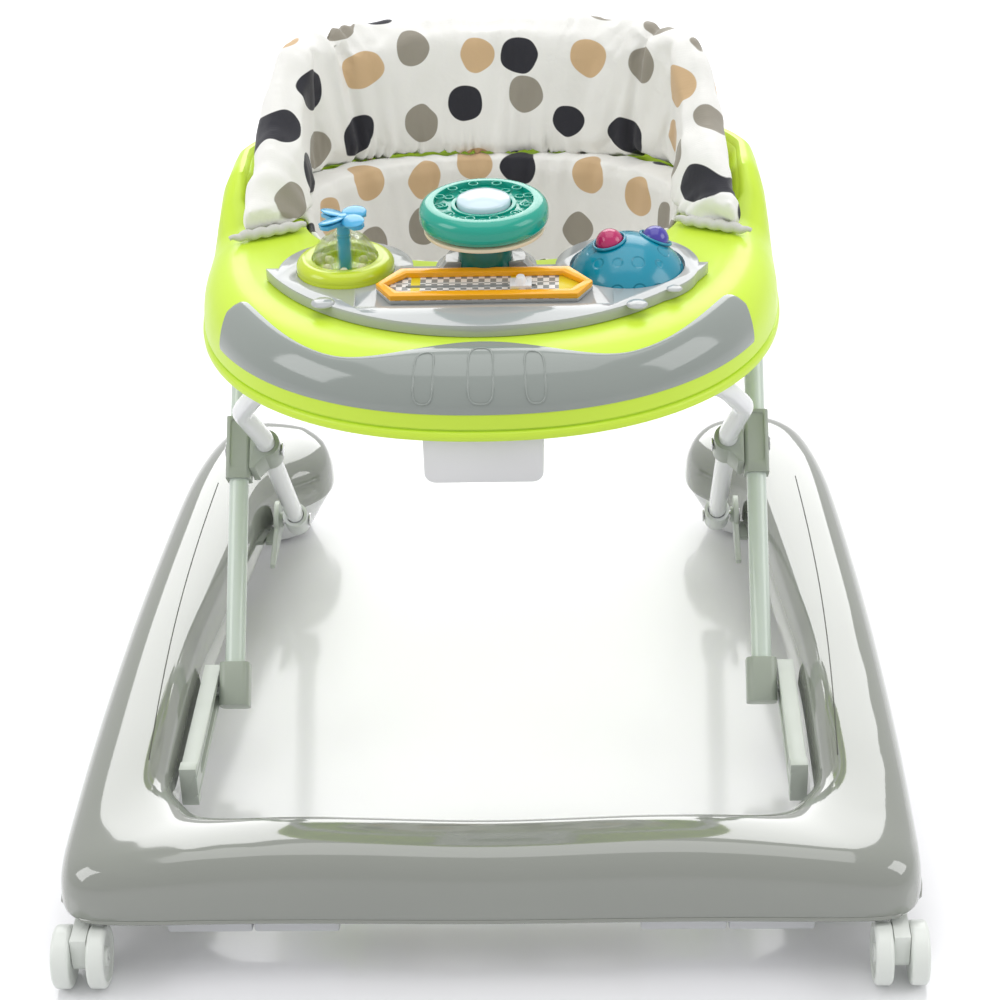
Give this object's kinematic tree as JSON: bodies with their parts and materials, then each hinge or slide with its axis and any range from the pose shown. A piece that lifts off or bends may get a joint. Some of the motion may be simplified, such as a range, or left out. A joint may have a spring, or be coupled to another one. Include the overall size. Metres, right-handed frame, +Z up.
{
  "type": "baby walker",
  "caption": "Folding baby walker: U-shaped base on castors, crossed tube arms, round toy tray and padded sling seat.",
  "frame": {"origin": "middle of the footprint on the floor, under the standing walker", "axes": "+Z up; +Y towards the back of the seat, so the toy tray faces -Y; +X to the right when looking along +Y"},
  "size_m": [0.6224, 0.722, 0.52],
  "materials": {
    "grey_gloss": "glossy moulded plastic",
    "pale_plastic": "semi-gloss moulded plastic",
    "guide_plastic": "satin moulded plastic",
    "fitting_plastic": "satin grey-green moulded plastic",
    "socket_plastic": "satin pale grey plastic",
    "pad_rubber": "pale grip rubber",
    "castor_plastic": "satin pale plastic",
    "rear_tyre": "dark rubber",
    "steel": "bright steel",
    "white_tube": "glossy white enamel",
    "green_tube": "glossy pale green enamel",
    "lime_plastic": "satin lime moulded plastic",
    "fascia_grey": "glossy grey plastic",
    "panel_grey": "glossy light grey plastic",
    "white_plastic": "satin white plastic",
    "spinner_lime": "glossy lime-yellow plastic",
    "clear_plastic": "clear moulded plastic",
    "sky_plastic": "glossy light blue plastic",
    "bead_plastic": "pale beads",
    "dark_green_plastic": "dark green plastic",
    "teal_plastic": "glossy teal plastic",
    "cream_plastic": "cream plastic",
    "horn_plastic": "pale blue-white plastic",
    "amber_plastic": "amber plastic",
    "card_print": "printed checked card",
    "figure_plastic": "milky translucent plastic",
    "ocean_plastic": "glossy blue-teal plastic",
    "magenta_plastic": "magenta pearl plastic",
    "violet_plastic": "violet pearl plastic",
    "dotted_fabric": "woven cream cloth printed with rounded dots"
  },
  "bodies": {
    "base": {"base_shell": "grey_gloss", "rear_housing_left": "pale_plastic", "rear_housing_right": "pale_plastic", "guide_channel_left": "guide_plastic", "guide_channel_right": "guide_plastic", "bracket_plates": "guide_plastic", "friction_pads": "pad_rubber", "castor_sockets": "guide_plastic", "rear_axle_left": "steel", "rear_axle_right": "steel"},
    "castor_left": {"castor_fork_left": "castor_plastic"},
    "castor_right": {"castor_fork_right": "castor_plastic"},
    "castor_wheels_left": {"castor_axle_left": "steel", "castor_outer_wheel_left": "castor_plastic", "castor_inner_wheel_left": "castor_plastic"},
    "castor_wheels_right": {"castor_axle_right": "steel", "castor_outer_wheel_right": "castor_plastic", "castor_inner_wheel_right": "castor_plastic"},
    "rear_roller_left": {"rear_wheel_left": "rear_tyre"},
    "rear_roller_right": {"rear_wheel_right": "rear_tyre"},
    "white_arms": {"arm_a_tube": "white_tube", "arm_a_foot_left": "socket_plastic", "arm_a_foot_right": "socket_plastic", "arm_a_collars": "fitting_plastic", "foot_pins": "steel"},
    "green_arms": {"arm_b_tube_left": "green_tube", "arm_b_tube_right": "green_tube", "arm_b_sleeve_left": "fitting_plastic", "arm_b_sleeve_right": "fitting_plastic", "arm_b_slider_left": "fitting_plastic", "arm_b_slider_right": "fitting_plastic", "arm_b_heads": "fitting_plastic", "slider_pins": "steel", "cross_pins": "steel"},
    "tray": {"tray_shell": "lime_plastic", "tray_fascia": "fascia_grey", "toy_panel": "panel_grey", "adjuster_housing": "white_plastic", "tray_brackets": "white_plastic", "head_pins": "steel", "spinner_base": "spinner_lime", "spinner_dome": "clear_plastic", "spinner_beads": "bead_plastic", "steering_column": "dark_green_plastic", "window_bezel": "amber_plastic", "window_card": "card_print", "ball_dome": "ocean_plastic", "seat_back": "dotted_fabric", "seat_sling": "dotted_fabric"},
    "height_release": {"adjuster_handle": "fitting_plastic"},
    "spinner": {"spinner_rotor": "sky_plastic"},
    "steering": {"steering_wheel": "teal_plastic", "steering_disc": "cream_plastic", "horn_spring": "steel"},
    "horn": {"horn_button": "horn_plastic"},
    "figure": {"window_slider": "figure_plastic"},
    "inner_ball": {"ball_inner": "magenta_plastic"},
    "outer_ball": {"ball_outer": "violet_plastic"}
  },
  "joints": [
    {"name": "fold", "type": "hinge", "parent": "base", "child": "white_arms", "pos_m": [0, 0.203, 0.069], "axis": [1, 0, 0], "range_deg": [0, 27]},
    {"name": "arm_cross", "type": "hinge", "parent": "white_arms", "child": "green_arms", "pos_m": [0, 0.06694, 0.21491], "axis": [1, 0, 0], "range_deg": [-54, 0]},
    {"name": "tray_level", "type": "hinge", "parent": "green_arms", "child": "tray", "pos_m": [0, 0.17742, 0.33338], "axis": [1, 0, 0], "range_deg": [0, 27]},
    {"name": "rear_wheel_left_roll", "type": "hinge", "parent": "base", "child": "rear_roller_left", "pos_m": [-0.222, 0.307, 0.022], "axis": [1, 0, 0], "continuous": true},
    {"name": "rear_wheel_right_roll", "type": "hinge", "parent": "base", "child": "rear_roller_right", "pos_m": [0.222, 0.307, 0.022], "axis": [1, 0, 0], "continuous": true},
    {"name": "castor_left_swivel", "type": "hinge", "parent": "base", "child": "castor_left", "pos_m": [-0.292, -0.316, 0.05], "axis": [0, 0, 1], "continuous": true},
    {"name": "castor_left_roll", "type": "hinge", "parent": "castor_left", "child": "castor_wheels_left", "pos_m": [-0.292, -0.338, 0.023], "axis": [1, 0, 0], "continuous": true},
    {"name": "castor_right_swivel", "type": "hinge", "parent": "base", "child": "castor_right", "pos_m": [0.292, -0.316, 0.05], "axis": [0, 0, 1], "continuous": true},
    {"name": "castor_right_roll", "type": "hinge", "parent": "castor_right", "child": "castor_wheels_right", "pos_m": [0.292, -0.338, 0.023], "axis": [1, 0, 0], "continuous": true},
    {"name": "height_pull", "type": "slide", "parent": "tray", "child": "height_release", "axis": [0, 0, -1], "range_m": [0, 0.004], "stiffness_N_per_m": 300, "springref_m": -0.002},
    {"name": "spinner_turn", "type": "hinge", "parent": "tray", "child": "spinner", "pos_m": [-0.106, -0.006, 0.42], "axis": [0, 0, 1], "continuous": true},
    {"name": "steering_turn", "type": "hinge", "parent": "tray", "child": "steering", "pos_m": [0, -0.013, 0.455], "axis": [0, 0, 1], "continuous": true},
    {"name": "horn_press", "type": "slide", "parent": "steering", "child": "horn", "axis": [0, 0, -1], "range_m": [0, 0.003], "stiffness_N_per_m": 400, "springref_m": -0.002, "deforming": ["horn_spring"]},
    {"name": "figure_slide", "type": "slide", "parent": "tray", "child": "figure", "axis": [1, 0, 0], "range_m": [-0.076, 0]},
    {"name": "inner_ball_roll", "type": "hinge", "parent": "tray", "child": "inner_ball", "pos_m": [0.093, -0.01, 0.42872], "axis": [1, 0, 0], "continuous": true},
    {"name": "outer_ball_roll", "type": "hinge", "parent": "tray", "child": "outer_ball", "pos_m": [0.127, 0.003, 0.42488], "axis": [1, 0, 0], "continuous": true}
  ],
  "couplings": [
    {"joint": "arm_cross", "follows": "fold", "ratio": -2},
    {"joint": "tray_level", "follows": "fold", "ratio": 1}
  ]
}
